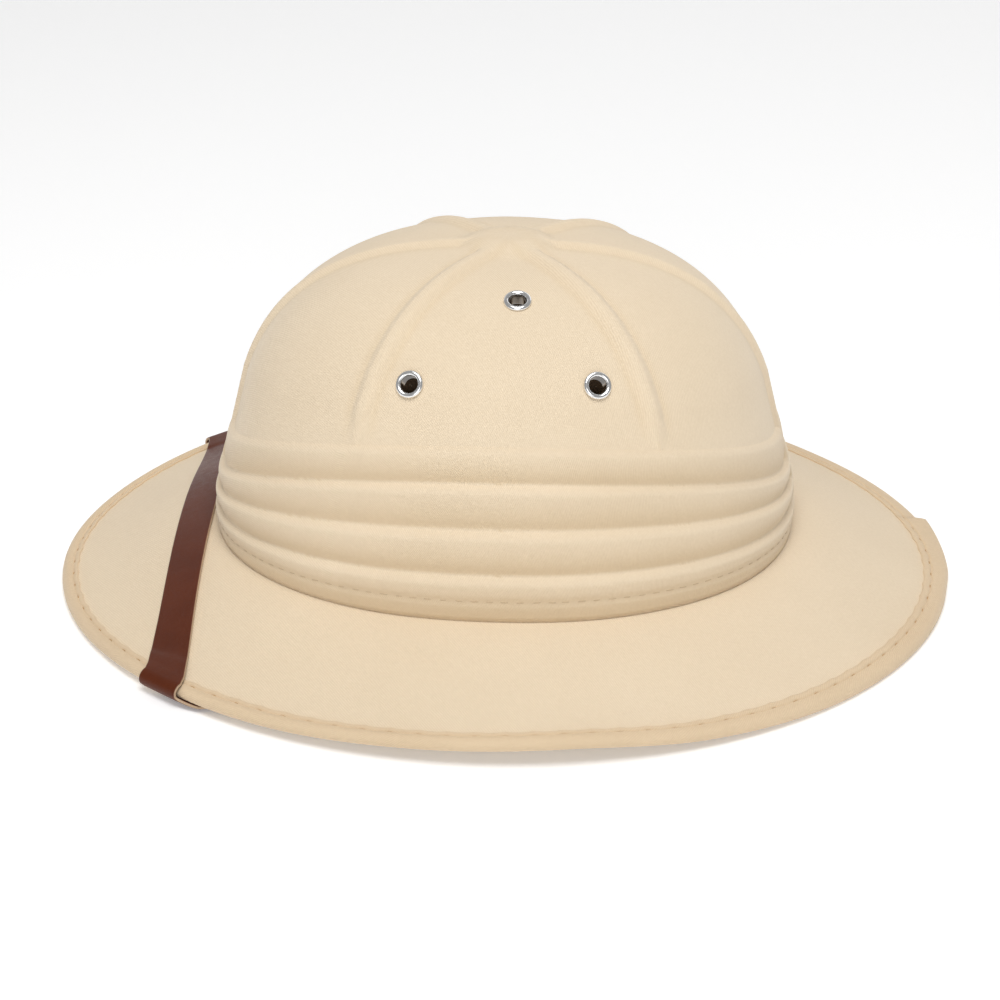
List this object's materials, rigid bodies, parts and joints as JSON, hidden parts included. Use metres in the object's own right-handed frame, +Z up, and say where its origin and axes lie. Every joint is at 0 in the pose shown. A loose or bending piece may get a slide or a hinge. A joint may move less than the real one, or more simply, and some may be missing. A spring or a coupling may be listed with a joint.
{
  "type": "sun helmet",
  "caption": "Cloth-covered sun helmet with a ribbed and pleated crown, metal vent eyelets, a bound sloping brim and a flat chin strap stowed over the front of the brim",
  "frame": {"origin": "centre of the helmet in plan, on the surface that it rests on", "axes": "+Z up, the helmet's length along X with its front at -X, its width along Y with the wearer's right at +Y"},
  "size_m": [0.341, 0.3018, 0.1351],
  "materials": {
    "helmet_cloth": "fine cream twill",
    "binding_tape": "cream twill tape, stitched",
    "strap_leather": "brown imitation leather, satin",
    "eyelet_metal": "polished nickel plate"
  },
  "bodies": {
    "root": {"crown": "helmet_cloth", "brim": "helmet_cloth", "brim_binding": "binding_tape", "chin_strap": "strap_leather", "eyelet_left_top": "eyelet_metal", "eyelet_left_front": "eyelet_metal", "eyelet_left_back": "eyelet_metal", "eyelet_right_top": "eyelet_metal", "eyelet_right_front": "eyelet_metal", "eyelet_right_back": "eyelet_metal"}
  },
  "joints": []
}
